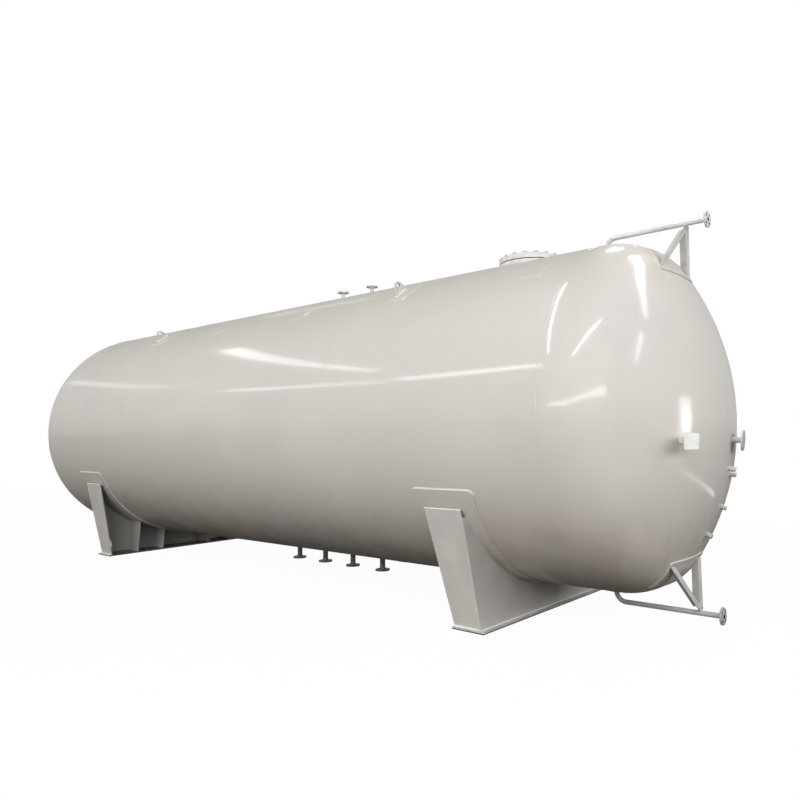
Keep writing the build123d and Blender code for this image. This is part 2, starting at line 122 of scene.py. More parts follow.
class Paint:
    # the nodes of a new material or world, and the short ways to lay them
    def __init__(self, holder):
        self.holder = holder
        holder.use_nodes = True
        self.tree = holder.node_tree
        self.tree.nodes.clear()

    def node(self, kind, settings={}, inputs={}, out=0):
        made = self.tree.nodes.new(kind)
        for key, value in settings.items():
            setattr(made, key, value)
        for key, value in inputs.items():
            if isinstance(value, Wire):
                self.tree.links.new(value.socket, made.inputs[key])
            else:
                made.inputs[key].default_value = value
        return Wire(self, made.outputs[out])

    def place(self):
        return self.node("ShaderNodeTexCoord", out="Object")

    def axes(self, vector):
        parted = self.node("ShaderNodeSeparateXYZ", inputs={0: vector}).socket.node
        return [Wire(self, socket) for socket in parted.outputs]

    def noise(self, vector, scale, detail=2.0, roughness=0.5):
        return self.node("ShaderNodeTexNoise", inputs={
            "Vector": vector, "Scale": scale, "Detail": detail, "Roughness": roughness})

    def step(self, value, low, high):
        # 0 below low, 1 above high, smooth between
        return self.node("ShaderNodeMapRange", {"interpolation_type": "SMOOTHSTEP"}, {
            "Value": value, "From Min": low, "From Max": high})

    def edge(self, value, at, soft):
        # a step about one place, this soft to either side
        return self.step(value, at - soft, at + soft)

    def blend(self, share, first, second):
        # from the first colour to the second; three numbers are a colour as picked from a picture
        ends = [linear(*colour) if isinstance(colour, tuple) else colour for colour in (first, second)]
        return self.node("ShaderNodeMix", {"data_type": "RGBA"}, {0: share, 6: ends[0], 7: ends[1]}, out=2)

    def bump(self, height, distance, strength=1.0, under=None):
        inputs = {"Height": height, "Distance": distance, "Strength": strength}
        if under is not None:
            inputs["Normal"] = under
        return self.node("ShaderNodeBump", inputs=inputs)

    def spot(self, point, centre, radius, soft):
        # 1 inside a ball round a point of the object, fading over its edge
        ends = {0: point, 1: centre}
        away = self.node("ShaderNodeVectorMath", {"operation": "DISTANCE"}, ends, out="Value")
        return 1 - self.edge(away, radius, soft)

    def ray(self, kind):
        return self.node("ShaderNodeLightPath", out=kind)

    def show(self, surface, output="ShaderNodeOutputMaterial"):
        end = self.tree.nodes.new(output)
        self.tree.links.new(surface.socket, end.inputs["Surface"])
        return self.holder

    def finish(self, sockets):
        return self.show(self.node("ShaderNodeBsdfPrincipled", inputs=sockets))


# paints of the tank: colours as they look in plain daylight, 0-255, except the painted shade and painted
# highlights noted where they are used, the noise scales of their patterns, depths, heights and places in
# metres, and shares from 0 to 1
tankPaint = {
    "paint": (203, 199, 194), "warmer": (206, 201, 193), "cooler": (198, 195, 191),
    "dust": (156, 141, 124), "topDust": (190, 178, 152), "rust": (124, 74, 40),
    "clouds": 0.55, "patches": 2.6, "specks": 46.0, "patchShare": 0.55, "speckShare": 0.08,
    # the darker tone low on the belly and the dust on the top: the heights between which each thins out or
    # begins, what lies everywhere and what more in patches
    "belly": (0.25, 1.35), "bellyEven": 0.18, "bellyPatches": 0.42,
    "crown": (2.45, 3.2), "crownEven": 0.15, "crownPatches": 0.15,
    "rustAt": (-6.416, -0.93, 2.97), "rustRadius": 0.018, "rustSoft": 0.012, "rustShare": 0.8,
    "waves": 1.1, "waveDepth": 0.0022, "peel": 90.0, "peelDepth": 0.00025, "peelStrength": 0.5,
    "rough": 0.52, "patchRough": 0.10, "dustRough": 0.22, "coat": 0.6, "coatRough": 0.11, "mirror": 0.2}


def tankCoat():
    coat = Paint(bpy.data.materials.new("tankPaint"))
    at = coat.place()
    height = coat.axes(at)[2]
    cloud = coat.noise(at, tankPaint["clouds"], 3.0)
    patch = coat.noise(at, tankPaint["patches"], 4.0, 0.6)
    speck = coat.noise(at, tankPaint["specks"])
    tone = coat.blend(coat.step(cloud, 0.36, 0.64), tankPaint["cooler"], tankPaint["warmer"])
    tone = coat.blend(coat.step(patch, 0.3, 0.7) * tankPaint["patchShare"], tone, tankPaint["paint"])
    # darker and browner low on the belly, evenly and more in patches
    low = 1 - coat.step(height, *tankPaint["belly"])
    dirty = low * (tankPaint["bellyEven"] + tankPaint["bellyPatches"] * coat.step(patch, 0.35, 0.75))
    dirty = dirty + coat.step(speck, 0.68, 0.75) * tankPaint["speckShare"]
    tone = coat.blend(dirty, tone, tankPaint["dust"])
    # a thin grey film where dust settles on the top
    film = tankPaint["crownEven"] + tankPaint["crownPatches"] * coat.step(patch, 0.35, 0.7)
    tone = coat.blend(coat.step(height, *tankPaint["crown"]) * film, tone, tankPaint["topDust"])
    # one rust mark high on the far course
    mark = coat.spot(at, tankPaint["rustAt"], tankPaint["rustRadius"], tankPaint["rustSoft"])
    tone = coat.blend(mark * tankPaint["rustShare"], tone, tankPaint["rust"])
    wave = coat.bump(coat.noise(at, tankPaint["waves"], 1.0), tankPaint["waveDepth"])
    peel = coat.bump(coat.noise(at, tankPaint["peel"], 1.0), tankPaint["peelDepth"],
                     tankPaint["peelStrength"], wave)
    rough = tankPaint["rough"] + tankPaint["patchRough"] * patch + tankPaint["dustRough"] * dirty
    return coat.finish({"Base Color": tone, "Roughness": rough, "Normal": peel, "IOR": 1.5,
                        "Coat Weight": tankPaint["coat"], "Coat Roughness": tankPaint["coatRough"],
                        "Specular IOR Level": tankPaint["mirror"]})


saddlePaint = {
    "paint": (200, 197, 192), "shade": (190, 188, 184), "dust": (150, 142, 128), "rust": (120, 78, 48),
    # painted shade colours: the bays' cool grey, and the near black of the bays' floor and of the base
    # plate's lower edge
    "bayShade": (108, 112, 110), "edge": (46, 46, 44),
    "clouds": 3.2, "grit": 60.0, "bites": 22.0,
    "footTop": 0.22, "footDust": 0.14, "gritDust": 0.10, "rustShare": 0.25,
    # the bays between the ribs, darkened as painted shade: from web to rib edge along the tank, and their
    # sloping half width
    "farBay": (-6.6645, -6.22), "nearBay": (-0.34, 0.104), "webSoft": 0.001, "bayShadeShare": 0.55,
    "bayHalf": 1.110, "bayLean": 0.2414, "ribSoft": 0.003, "bayFloor": 0.021, "bayFloorShadowShare": 0.8,
    # the base plate's lower edge, darkened as a painted shadow where it meets the floor
    "shadowEdgeTop": (0.008, 0.012), "shadowEdgeShare": 0.9,
    "rough": 0.42, "cloudRough": 0.2, "dustRough": 0.2, "gritDepth": 0.0004, "coat": 0.15, "coatRough": 0.25}


def saddleCoat():
    coat = Paint(bpy.data.materials.new("saddlePaint"))
    at = coat.place()
    x, y, z = coat.axes(at)
    cloud = coat.noise(at, saddlePaint["clouds"], 4.0, 0.6)
    grit = coat.noise(at, saddlePaint["grit"], 3.0, 0.7)
    tone = coat.blend(coat.step(cloud, 0.35, 0.65), saddlePaint["shade"], saddlePaint["paint"])
    foot = 1 - coat.step(z, 0.0, saddlePaint["footTop"])
    dirty = foot * coat.step(grit, 0.3, 0.7) * saddlePaint["footDust"]
    dirty = dirty + coat.step(grit, 0.62, 0.8) * saddlePaint["gritDust"]
    tone = coat.blend(dirty, tone, saddlePaint["dust"])
    bitten = foot * coat.step(coat.noise(at, saddlePaint["bites"], 3.0), 0.64, 0.72)
    tone = coat.blend(bitten * saddlePaint["rustShare"], tone, saddlePaint["rust"])
    # painted shade: the bays under the tank are darkened to a cool grey, and their floor to near black as a
    # painted shadow
    farWeb, farEdge = saddlePaint["farBay"]
    nearEdge, nearWeb = saddlePaint["nearBay"]
    far = coat.edge(x, farWeb, saddlePaint["webSoft"]) * (x < farEdge)
    near = (x > nearEdge) * (1 - coat.edge(x, nearWeb, saddlePaint["webSoft"]))
    across = abs(y) - saddlePaint["bayLean"] * z
    bay = (far + near) * (1 - coat.edge(across, saddlePaint["bayHalf"], saddlePaint["ribSoft"]))
    tone = coat.blend(bay * saddlePaint["bayShadeShare"], tone, saddlePaint["bayShade"])
    floor = bay * (z < saddlePaint["bayFloor"])
    tone = coat.blend(floor * saddlePaint["bayFloorShadowShare"], tone, saddlePaint["edge"])
    # painted shadow: the base plate's lower edge is darkened where it meets the floor
    edge = 1 - coat.step(z, *saddlePaint["shadowEdgeTop"])
    tone = coat.blend(edge * saddlePaint["shadowEdgeShare"], tone, saddlePaint["edge"])
    rough = saddlePaint["rough"] + saddlePaint["cloudRough"] * cloud + saddlePaint["dustRough"] * dirty
    return coat.finish({"Base Color": tone, "Roughness": rough,
                        "Normal": coat.bump(grit, saddlePaint["gritDepth"], 0.6),
                        "Coat Weight": saddlePaint["coat"], "Coat Roughness": saddlePaint["coatRough"]})


# the manway, with its place from the tank's middle and its heights from the shell's top; the fittings' paint
# uses it to find the nuts
manway = {"x": 3.236, "across": 0.620, "leg": 0.009, "beadHeight": 0.008, "ringTop": 0.013, "coverTop": 0.075,
          "studs": 16, "studCircle": 0.550, "firstTurn": 11, "studAcross": 0.027, "studSteps": 24,
          "studBevel": 0.08, "studBelow": 0.014, "proud": 0.003,
          "nutFlats": 0.041, "nutHeight": 0.014, "nutRim": 0.07}

fittingPaint = {
    # dark is a painted shade colour for the inside of the gauge flanges' holes
    "paint": (211, 210, 209), "worn": (190, 189, 187), "steel": (150, 148, 144), "dark": (40, 40, 39),
    # dirty is a painted shade colour for the lower pipe and braces, under the tank
    "dirty": (138, 136, 130),
    "clouds": 7.0, "grit": 110.0, "bareShare": 0.2,
    # where that painted shade fades out, and its share
    "paintedShadeTop": (0.3, 1.1), "paintedShadeShare": 0.5,
    # the manway's nuts: above this height and no further from its middle along the tank
    "nutsFrom": 3.3668, "nutsWithin": 0.4, "nutShare": 0.75,
    # the gauge flanges, one above and one below the axis: bore and bolt holes, painted dark as the shade
    # inside them
    "flangeFrom": 1.4, "fromAxis": 1.634, "bore": 0.0185, "holeAt": 0.03536, "hole": 0.0094,
    "rough": 0.34, "cloudRough": 0.2, "bareRough": 0.15, "gritDepth": 0.0003, "coat": 0.6, "coatRough": 0.12}


def fittingCoat():
    coat = Paint(bpy.data.materials.new("fittingPaint"))
    at = coat.place()
    x, y, z = coat.axes(at)
    cloud = coat.noise(at, fittingPaint["clouds"], 4.0, 0.6)
    grit = coat.noise(at, fittingPaint["grit"], 3.0, 0.7)
    tone = coat.blend(coat.step(cloud, 0.35, 0.7), fittingPaint["paint"], fittingPaint["worn"])
    # painted shade: the lower pipe and braces, shaded by the tank above, are darkened towards grey
    low = 1 - coat.step(z, *fittingPaint["paintedShadeTop"])
    tone = coat.blend(low * fittingPaint["paintedShadeShare"], tone, fittingPaint["dirty"])
    bare = coat.step(grit, 0.66, 0.72)
    fromManway = abs(x - tank["middleX"] - manway["x"])
    nuts = (z > fittingPaint["nutsFrom"]) * (fromManway < fittingPaint["nutsWithin"])
    steel = bare * fittingPaint["bareShare"] + nuts * fittingPaint["nutShare"]
    tone = coat.blend(steel, tone, fittingPaint["steel"])
    # painted shade: the gauge flanges' bore and bolt holes are coloured dark
    up = abs(z - tank["axisZ"]) - fittingPaint["fromAxis"]
    bore = (y * y + up * up) ** 0.5 < fittingPaint["bore"]
    overY, overZ = abs(y) - fittingPaint["holeAt"], abs(up) - fittingPaint["holeAt"]
    hole = (overY * overY + overZ * overZ) ** 0.5 < fittingPaint["hole"]
    tone = coat.blend((bore + hole) * (x > fittingPaint["flangeFrom"]), tone, fittingPaint["dark"])
    rough = fittingPaint["rough"] + fittingPaint["cloudRough"] * cloud + fittingPaint["bareRough"] * bare
    return coat.finish({"Base Color": tone, "Roughness": rough,
                        "Normal": coat.bump(grit, fittingPaint["gritDepth"], 0.5),
                        "Coat Weight": fittingPaint["coat"], "Coat Roughness": fittingPaint["coatRough"]})


nozzlePaint = {"paint": (112, 113, 109), "worn": (138, 137, 131), "rust": (96, 70, 52), "rustShare": 0.4,
               "clouds": 9.0, "grit": 120.0, "gritDepth": 0.0003,
               "rough": 0.38, "cloudRough": 0.25, "coat": 0.3, "coatRough": 0.2}


def nozzleCoat():
    coat = Paint(bpy.data.materials.new("nozzlePaint"))
    at = coat.place()
    cloud = coat.noise(at, nozzlePaint["clouds"], 4.0, 0.6)
    grit = coat.noise(at, nozzlePaint["grit"], 3.0, 0.7)
    tone = coat.blend(coat.step(cloud, 0.4, 0.7), nozzlePaint["paint"], nozzlePaint["worn"])
    rusty = coat.step(grit, 0.64, 0.72) * nozzlePaint["rustShare"]
    tone = coat.blend(rusty, tone, nozzlePaint["rust"])
    rough = nozzlePaint["rough"] + nozzlePaint["cloudRough"] * cloud
    return coat.finish({"Base Color": tone, "Roughness": rough,
                        "Normal": coat.bump(grit, nozzlePaint["gritDepth"], 0.5),
                        "Coat Weight": nozzlePaint["coat"], "Coat Roughness": nozzlePaint["coatRough"]})


platePaint = {"paint": (238, 237, 233), "scuff": (222, 220, 215), "clouds": 14.0, "cloudDepth": 0.0004,
              "rough": 0.4, "cloudRough": 0.2, "coat": 0.2, "coatRough": 0.2}


def plateCoat():
    coat = Paint(bpy.data.materials.new("platePaint"))
    cloud = coat.noise(coat.place(), platePaint["clouds"], 4.0, 0.6)
    tone = coat.blend(coat.step(cloud, 0.45, 0.75), platePaint["paint"], platePaint["scuff"])
    rough = platePaint["rough"] + platePaint["cloudRough"] * cloud
    return coat.finish({"Base Color": tone, "Roughness": rough,
                        "Normal": coat.bump(cloud, platePaint["cloudDepth"], 0.4),
                        "Coat Weight": platePaint["coat"], "Coat Roughness": platePaint["coatRough"]})


gasketRubber = {"dark": (24, 24, 24), "chalky": (44, 43, 41), "grain": 80.0, "grainDepth": 0.0003,
                "rough": 0.75, "grainRough": 0.15}


def gasketCoat():
    coat = Paint(bpy.data.materials.new("gasketRubber"))
    fine = coat.noise(coat.place(), gasketRubber["grain"], 3.0, 0.6)
    tone = coat.blend(coat.step(fine, 0.4, 0.75), gasketRubber["dark"], gasketRubber["chalky"])
    rough = gasketRubber["rough"] + gasketRubber["grainRough"] * fine
    return coat.finish({"Base Color": tone, "Roughness": rough,
                        "Normal": coat.bump(fine, gasketRubber["grainDepth"], 0.6)})


paints = {"shell_paint": tankCoat(), "saddle_paint": saddleCoat(), "fitting_paint": fittingCoat(),
          "nozzle_paint": nozzleCoat(), "plate_paint": plateCoat(), "gasket": gasketCoat()}


def dressNodes():
    # every CAD node takes the paint of its slot in the record
    for part in frame["record"]["subparts"]:
        node = nodes[part["node"]]
        node.data.materials.clear()
        node.data.materials.append(paints[part["material_slot"]])


dressNodes()
print("paints mixed and on the nodes")


def restOn(piece, slot):
    # what is modelled here rides on the tank and takes a slot of the record
    piece.data.materials.clear()
    piece.data.materials.append(paints[slot])
    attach(piece, "root")


# degrees between two faces that still shade as one
smooth = {"rolled": 40, "stud": 30, "round": 50}
# a face whose normal has this much of Z is the top of a nut or the end of a rod
capNormal = 0.9


def begin(name, primitive, **sizes):
    # one primitive, with everything else let go first
    bpy.ops.object.select_all(action="DESELECT")
    primitive(**sizes)
    piece = bpy.context.object
    piece.name = name
    return piece


def openUp(mode="FACE"):
    bpy.ops.object.mode_set(mode="EDIT")
    bpy.ops.mesh.select_mode(type=mode)


def settle():
    # place, turn and size go into the mesh
    bpy.ops.object.mode_set(mode="OBJECT")
    bpy.ops.object.transform_apply(location=True, rotation=True, scale=True)


def closeUp(piece, angle):
    bpy.ops.object.mode_set(mode="OBJECT")
    bpy.ops.object.select_all(action="DESELECT")
    piece.select_set(True)
    bpy.context.view_layer.objects.active = piece
    settle()
    bpy.ops.object.shade_smooth_by_angle(angle=math.radians(angle))


def pick(piece, test):
    # select the faces whose normal passes, back in edit mode
    bpy.ops.mesh.select_all(action="DESELECT")
    bpy.ops.object.mode_set(mode="OBJECT")
    for face in piece.data.polygons:
        face.select = test(face.normal)
    bpy.ops.object.mode_set(mode="EDIT")


def pickEdges(piece, test):
    # select the edges whose two ends pass, both as they lie in the mesh
    bpy.ops.mesh.select_all(action="DESELECT")
    bpy.ops.object.mode_set(mode="OBJECT")
    points = piece.data.vertices
    for edge in piece.data.edges:
        edge.select = test(points[edge.vertices[0]].co, points[edge.vertices[1]].co)
    bpy.ops.object.mode_set(mode="EDIT")
    bpy.ops.mesh.select_mode(type="EDGE")


# weld beads on the rolled shell: modelled flat, front side down -Y, then rolled to the shell
bead = {"crown": 0.6, "skin": 0.003, "cornerSteps": 6, "roundSteps": 64,
        "neckLeg": 0.007, "neckHeight": 0.006}


def thicken(piece):
    # a thin wall behind the bead's face
    bpy.ops.object.modifier_add(type="SOLIDIFY")
    skin = piece.modifiers[-1]
    skin.thickness = bead["skin"]
    skin.offset = -1
    bpy.ops.object.modifier_apply(modifier=skin.name)


def raiseBead(leg, height):
    # the face in hand becomes a frame of two slopes, and its middle goes
    bpy.ops.mesh.select_mode(type="FACE")
    bpy.ops.mesh.select_all(action="SELECT")
    bpy.ops.mesh.inset(thickness=leg / 2, depth=height * bead["crown"])
    bpy.ops.mesh.inset(thickness=leg / 2, depth=height * (1 - bead["crown"]))
    bpy.ops.mesh.delete(type="FACE")


def rollOn(piece, x, turn, radius, slot):
    # turn: degrees from the top round to the front
    settle()
    heights = [point.co.z for point in piece.data.vertices]
    bpy.ops.object.modifier_add(type="SIMPLE_DEFORM")
    roll = piece.modifiers[-1]
    roll.deform_method = "BEND"
    roll.deform_axis = "X"
    roll.angle = (max(heights) - min(heights)) / radius
    bpy.ops.object.modifier_apply(modifier=roll.name)
    thicken(piece)
    openUp("VERT")
    bpy.ops.mesh.select_all(action="SELECT")
    bpy.ops.transform.translate(value=(0, -radius, 0))
    bpy.ops.transform.rotate(value=math.radians(90 - turn), orient_axis="X", center_override=(0, 0, 0))
    bpy.ops.transform.translate(value=(tank["middleX"] + x, 0, tank["axisZ"]))
    closeUp(piece, smooth["rolled"])
    restOn(piece, slot)


def padBead(name, x, turn, pad, slot, lift=0.0):
    # round a pad with rounded corners; its sides aren't cut up, so between the corners they stay straight
    # when the bead is rolled, and a side that runs round the tank sinks towards the shell or into it
    leg = pad["leg"]
    piece = begin(name, bpy.ops.mesh.primitive_plane_add, size=1, rotation=(math.pi / 2, 0, 0))
    openUp()
    bpy.ops.transform.resize(value=(pad["length"] + 2 * leg, 1, pad["width"] + 2 * leg))
    bpy.ops.mesh.bevel(offset=pad["corner"] + leg, affect="VERTICES", segments=bead["cornerSteps"])
    raiseBead(leg, pad["height"])
    rollOn(piece, x, turn, tank["radius"] + lift, slot)


def neckBead(name, x, turn, across, leg, height, slot):
    # round a neck; rolling shortens its half width, so it is drawn longer first
    half = across / 2
    piece = begin(name, bpy.ops.mesh.primitive_circle_add, vertices=bead["roundSteps"], radius=half + leg,
                  fill_type="NGON", rotation=(math.pi / 2, 0, 0))
    openUp()
    longer = tank["radius"] * math.asin(half / tank["radius"]) / half
    bpy.ops.transform.resize(value=(1, 1, longer))
    raiseBead(leg, height)
    rollOn(piece, x, turn, tank["radius"], slot)


# pads: centres from the tank's middle, turns in degrees from the top, sizes as in the frame; and the
# weld's leg
pads = {"wear": {"x": 3.225, "turn": 180, "length": 0.650, "width": 2 * math.radians(66.9) * tank["radius"],
                 "corner": 0.045, "height": 0.012, "leg": 0.011},
        "lug": {"x": 2.290, "turn": 35.0, "length": 0.280, "width": 0.290, "corner": 0.025, "height": 0.012,
                "leg": 0.009},
        "lugFoot": {"length": 0.022, "width": 0.160, "corner": 0.002, "height": 0.007, "leg": 0.008},
        "clip": {"x": (0.800, 3.870), "turn": 37.5, "length": 0.220, "width": 0.190, "corner": 0.015,
                 "height": 0.008, "leg": 0.008}}


def weldPads():
    wear, lug, clip = pads["wear"], pads["lug"], pads["clip"]
    for end, label in ((1, "Near"), (-1, "Far")):
        padBead(f"weldWearPad{label}", end * wear["x"], wear["turn"], wear, "shell_paint")
        for side, face in ((1, "Front"), (-1, "Rear")):
            padBead(f"weldLugPad{label}{face}", end * lug["x"], side * lug["turn"], lug, "fitting_paint")
            # the lug's foot bead takes the white plate paint, a painted highlight along the foot
            padBead(f"weldLugFoot{label}{face}", end * lug["x"], side * lug["turn"], pads["lugFoot"],
                    "plate_paint", lift=lug["height"])
            for number, place in enumerate(clip["x"], start=1):
                padBead(f"weldClipPad{label}{face}{number}", end * place, side * clip["turn"], clip,
                        "shell_paint")


weldPads()
print("pads welded on")


# necks that come out of the shell: places from the tank's middle, and the pipe's outside
necks = {"Top": {"x": (0.455, 0.970), "turn": 0, "across": 0.0424, "slot": "fitting_paint"},
         "Bottom": {"x": (-0.360, 0.140, 0.640, 1.140), "turn": 180, "across": 0.0603,
                    "slot": "nozzle_paint"},
         "GaugeUpper": {"x": (4.078,), "turn": 0, "across": 0.0424, "slot": "fitting_paint"},
         "GaugeLower": {"x": (4.078,), "turn": 180, "across": 0.0424, "slot": "fitting_paint"}}


def weldNecks():
    for row, neck in necks.items():
        for number, x in enumerate(neck["x"], start=1):
            neckBead(f"weldNeck{row}{number}", x, neck["turn"], neck["across"], bead["neckLeg"],
                     bead["neckHeight"], neck["slot"])
    # the manway's low ring
    neckBead("weldManwayRing", manway["x"], 0, manway["across"], manway["leg"], manway["beadHeight"],
             "shell_paint")


weldNecks()
print("necks and manway ring welded in")


# the courses' butt seams
seam = {"width": 0.011, "height": 0.0022, "steps": 240, "sides": 8}


def seamBead(name, x):
    # a wire ring, flattened to a low wide bead over the butt joint
    piece = begin(name, bpy.ops.mesh.primitive_torus_add, major_radius=tank["radius"],
                  minor_radius=seam["height"], major_segments=seam["steps"], minor_segments=seam["sides"],
                  rotation=(0, math.pi / 2, 0))
    settle()
    openUp()
    bpy.ops.mesh.select_all(action="SELECT")
    bpy.ops.transform.resize(value=(seam["width"] / 2 / seam["height"], 1, 1))
    bpy.ops.transform.translate(value=(tank["middleX"] + x, 0, tank["axisZ"]))
    closeUp(piece, smooth["rolled"])
    restOn(piece, "shell_paint")


def weldSeams():
    for end, label in ((1, "Near"), (-1, "Far")):
        seamBead(f"weldMidSeam{label}", end * tank["midSeam"])
        seamBead(f"weldEndSeam{label}", end * tank["courseEnd"])


weldSeams()
print("seams welded")


def hexStud(name, centre, turn, low, high):
    # a nut standing on the place, with a narrow rim on its face, and its stud from low to high
    flats, nutHeight, across = manway["nutFlats"], manway["nutHeight"], manway["studAcross"]
    nut = begin(name, bpy.ops.mesh.primitive_cylinder_add, vertices=6, depth=nutHeight,
                radius=flats / 2 / math.cos(math.pi / 6), location=(0, 0, nutHeight / 2))
    openUp()
    pick(nut, lambda normal: normal.z > capNormal)
    bpy.ops.mesh.inset(thickness=flats * manway["nutRim"])
    settle()
    stud = begin("stud", bpy.ops.mesh.primitive_cylinder_add, vertices=manway["studSteps"], radius=across / 2,
                 depth=high - low, location=(0, 0, (high + low) / 2))
    openUp()
    underTop = (high - low) / 2 * 0.99
    pickEdges(stud, lambda a, b: min(a.z, b.z) > underTop)
    bpy.ops.mesh.bevel(offset=across * manway["studBevel"], segments=2)
    settle()
    nut.select_set(True)
    bpy.context.view_layer.objects.active = nut
    bpy.ops.object.join()
    nut.rotation_euler = (0, 0, math.radians(turn))
    nut.location = centre
    closeUp(nut, smooth["stud"])
    restOn(nut, "fitting_paint")
    return nut


def boltManway():
    # one stud is made and the rest are copies turned round the cover
    x = tank["middleX"] + manway["x"]
    top = tank["axisZ"] + tank["radius"] + manway["coverTop"]
    low = manway["ringTop"] - manway["coverTop"] - manway["studBelow"]
    first = hexStud("manwayStud01", (x + manway["studCircle"] / 2, 0, top), manway["firstTurn"], low,
                    manway["nutHeight"] + manway["proud"])
    for number in range(1, manway["studs"]):
        bpy.ops.object.select_all(action="DESELECT")
        first.select_set(True)
        bpy.context.view_layer.objects.active = first
        bpy.ops.object.duplicate()
        piece = bpy.context.object
        piece.name = f"manwayStud{number + 1:02d}"
        openUp("VERT")
        bpy.ops.mesh.select_all(action="SELECT")
        bpy.ops.transform.rotate(value=2 * math.pi * number / manway["studs"], orient_axis="Z",
                                 center_override=(x, 0, top))
        closeUp(piece, smooth["stud"])
        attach(piece, "root")


boltManway()
print("manway bolted down")


# beads on the dished head: drawn flat in front of it, then pressed onto it
headBeads = {"leg": 0.010, "crest": 0.009, "top": 0.013, "cornerSteps": 6, "cuts": 24, "sideShare": 0.6,
             "ahead": 1.5, "bracePad": {"width": 0.700, "height": 0.225, "corner": 0.020, "z": 1.3075}}


def pressOnHead(piece):
    settle()
    bpy.ops.object.modifier_add(type="SHRINKWRAP")
    press = piece.modifiers[-1]
    press.target = nodes["head_near"]
    press.wrap_method = "PROJECT"
    press.use_project_x = True
    press.use_negative_direction = True
    press.use_positive_direction = False
    bpy.ops.object.modifier_apply(modifier=press.name)


def bracePadBead(name, side):
    pad = headBeads["bracePad"]
    leg = headBeads["leg"]
    centre = (tank["middleX"] + tank["tangent"] + headBeads["ahead"], 0, tank["axisZ"] + side * pad["z"])
    piece = begin(name, bpy.ops.mesh.primitive_plane_add, size=1, location=centre,
                  rotation=(0, math.pi / 2, 0))
    openUp()
    bpy.ops.transform.resize(value=(1, pad["width"] + 2 * leg, pad["height"] + 2 * leg))
    bpy.ops.mesh.bevel(offset=pad["corner"] + leg, affect="VERTICES", segments=headBeads["cornerSteps"])
    bpy.ops.mesh.select_mode(type="FACE")
    bpy.ops.mesh.select_all(action="SELECT")
    for group in ("crest", "top"):
        bpy.ops.mesh.inset(thickness=leg / 2)
        bpy.ops.object.vertex_group_add()
        piece.vertex_groups.active.name = group
        bpy.ops.object.vertex_group_assign()
    bpy.ops.mesh.delete(type="FACE")
    # the straight sides are cut up, so that they follow the head
    limit = pad["height"] * headBeads["sideShare"]
    pickEdges(piece, lambda a, b: (a - b).length > limit)
    bpy.ops.mesh.subdivide(number_cuts=headBeads["cuts"])
    pressOnHead(piece)
    openUp("VERT")
    for group, rise in (("crest", headBeads["crest"]), ("top", headBeads["top"] - headBeads["crest"])):
        bpy.ops.mesh.select_all(action="DESELECT")
        bpy.ops.object.vertex_group_set_active(group=group)
        bpy.ops.object.vertex_group_select()
        bpy.ops.transform.translate(value=(rise, 0, 0))
    bpy.ops.object.mode_set(mode="OBJECT")
    bpy.ops.object.vertex_group_remove(all=True)
    thicken(piece)
    closeUp(piece, smooth["round"])
    restOn(piece, "shell_paint")


# round feet on the head: how far ahead of it the search for the face starts, and for each foot its place
# across and above the axis and the pipe's outside
headFeet = {"leg": 0.0055, "steps": 32, "sides": 8, "sunk": 0.3, "ahead": 2,
            "places": {"Stub": ((0.335, -0.220), 0.0483), "Coupling1": ((0.260, -0.460), 0.042),
                       "Coupling2": ((0.400, -0.515), 0.042), "Coupling3": ((0.390, -0.800), 0.042),
                       "Coupling4": ((0.150, -1.010), 0.042)}}


def touchHead(y, z):
    # where a line along the tank meets the head, and the way it faces there
    start = Vector((tank["middleX"] + tank["tangent"] + headFeet["ahead"], y, tank["axisZ"] + z))
    return nodes["head_near"].ray_cast(start, Vector((-1, 0, 0)))[1:3]


def ringBead(name, place, normal, across):
    # a wire ring with its hidden half cut away
    leg = headFeet["leg"]
    piece = begin(name, bpy.ops.mesh.primitive_torus_add, major_radius=across / 2, minor_radius=leg,
                  major_segments=headFeet["steps"], minor_segments=headFeet["sides"])
    openUp()
    bpy.ops.mesh.select_all(action="SELECT")
    bpy.ops.mesh.bisect(plane_co=(0, 0, -leg * headFeet["sunk"]), plane_no=(0, 0, 1), use_fill=True,
                        clear_inner=True)
    bpy.ops.mesh.select_all(action="SELECT")
    bpy.ops.mesh.normals_make_consistent(inside=False)
    bpy.ops.object.mode_set(mode="OBJECT")
    piece.rotation_euler = normal.to_track_quat("Z", "Y").to_euler()
    piece.location = place
    closeUp(piece, smooth["round"])
    restOn(piece, "shell_paint")


def weldHead():
    bracePadBead("weldUpperBracePad", 1)
    bracePadBead("weldLowerBracePad", -1)
    for name, (at, across) in headFeet["places"].items():
        place, normal = touchHead(*at)
        ringBead(f"weldHead{name}", place, normal, across)


weldHead()
print("head fittings welded on")


# saddle fillets: thin rods laid in the corners; places as in the frame, x from the saddle's web face inwards,
# and how much shorter than its corner a rod is at each end
saddles = {"Near": {"end": 1, "face": 3.415}, "Far": {"end": -1, "face": -3.380}}
fillet = {"radius": 0.0065, "sides": 8, "capInset": 0.3, "arcSteps": 72, "merge": 0.0001,
          "baseTop": 0.020, "web": 0.014, "halfFoot": 1.123, "halfTop": 1.3638, "webTop": 0.958,
          "seat": 1.5286,
          "ribs": (-0.744, -0.372, 0.372, 0.744), "ribHalf": 0.006, "ribBottom": 0.282, "ribTop": 1.018,
          "ribTopWidth": 0.403, "footShort": 0.01, "backShort": 0.02, "ribShort": 0.004}


def fillRod(name, start, end, slot="saddle_paint"):
    first, last = Vector(start), Vector(end)
    piece = begin(name, bpy.ops.mesh.primitive_cylinder_add, vertices=fillet["sides"],
                  radius=fillet["radius"], depth=(last - first).length)
    openUp()
    pick(piece, lambda normal: abs(normal.z) > capNormal)
    bpy.ops.mesh.inset(thickness=fillet["radius"] * fillet["capInset"])
    bpy.ops.object.mode_set(mode="OBJECT")
    piece.rotation_euler = (last - first).to_track_quat("Z", "Y").to_euler()
    piece.location = (first + last) / 2
    closeUp(piece, smooth["round"])
    restOn(piece, slot)


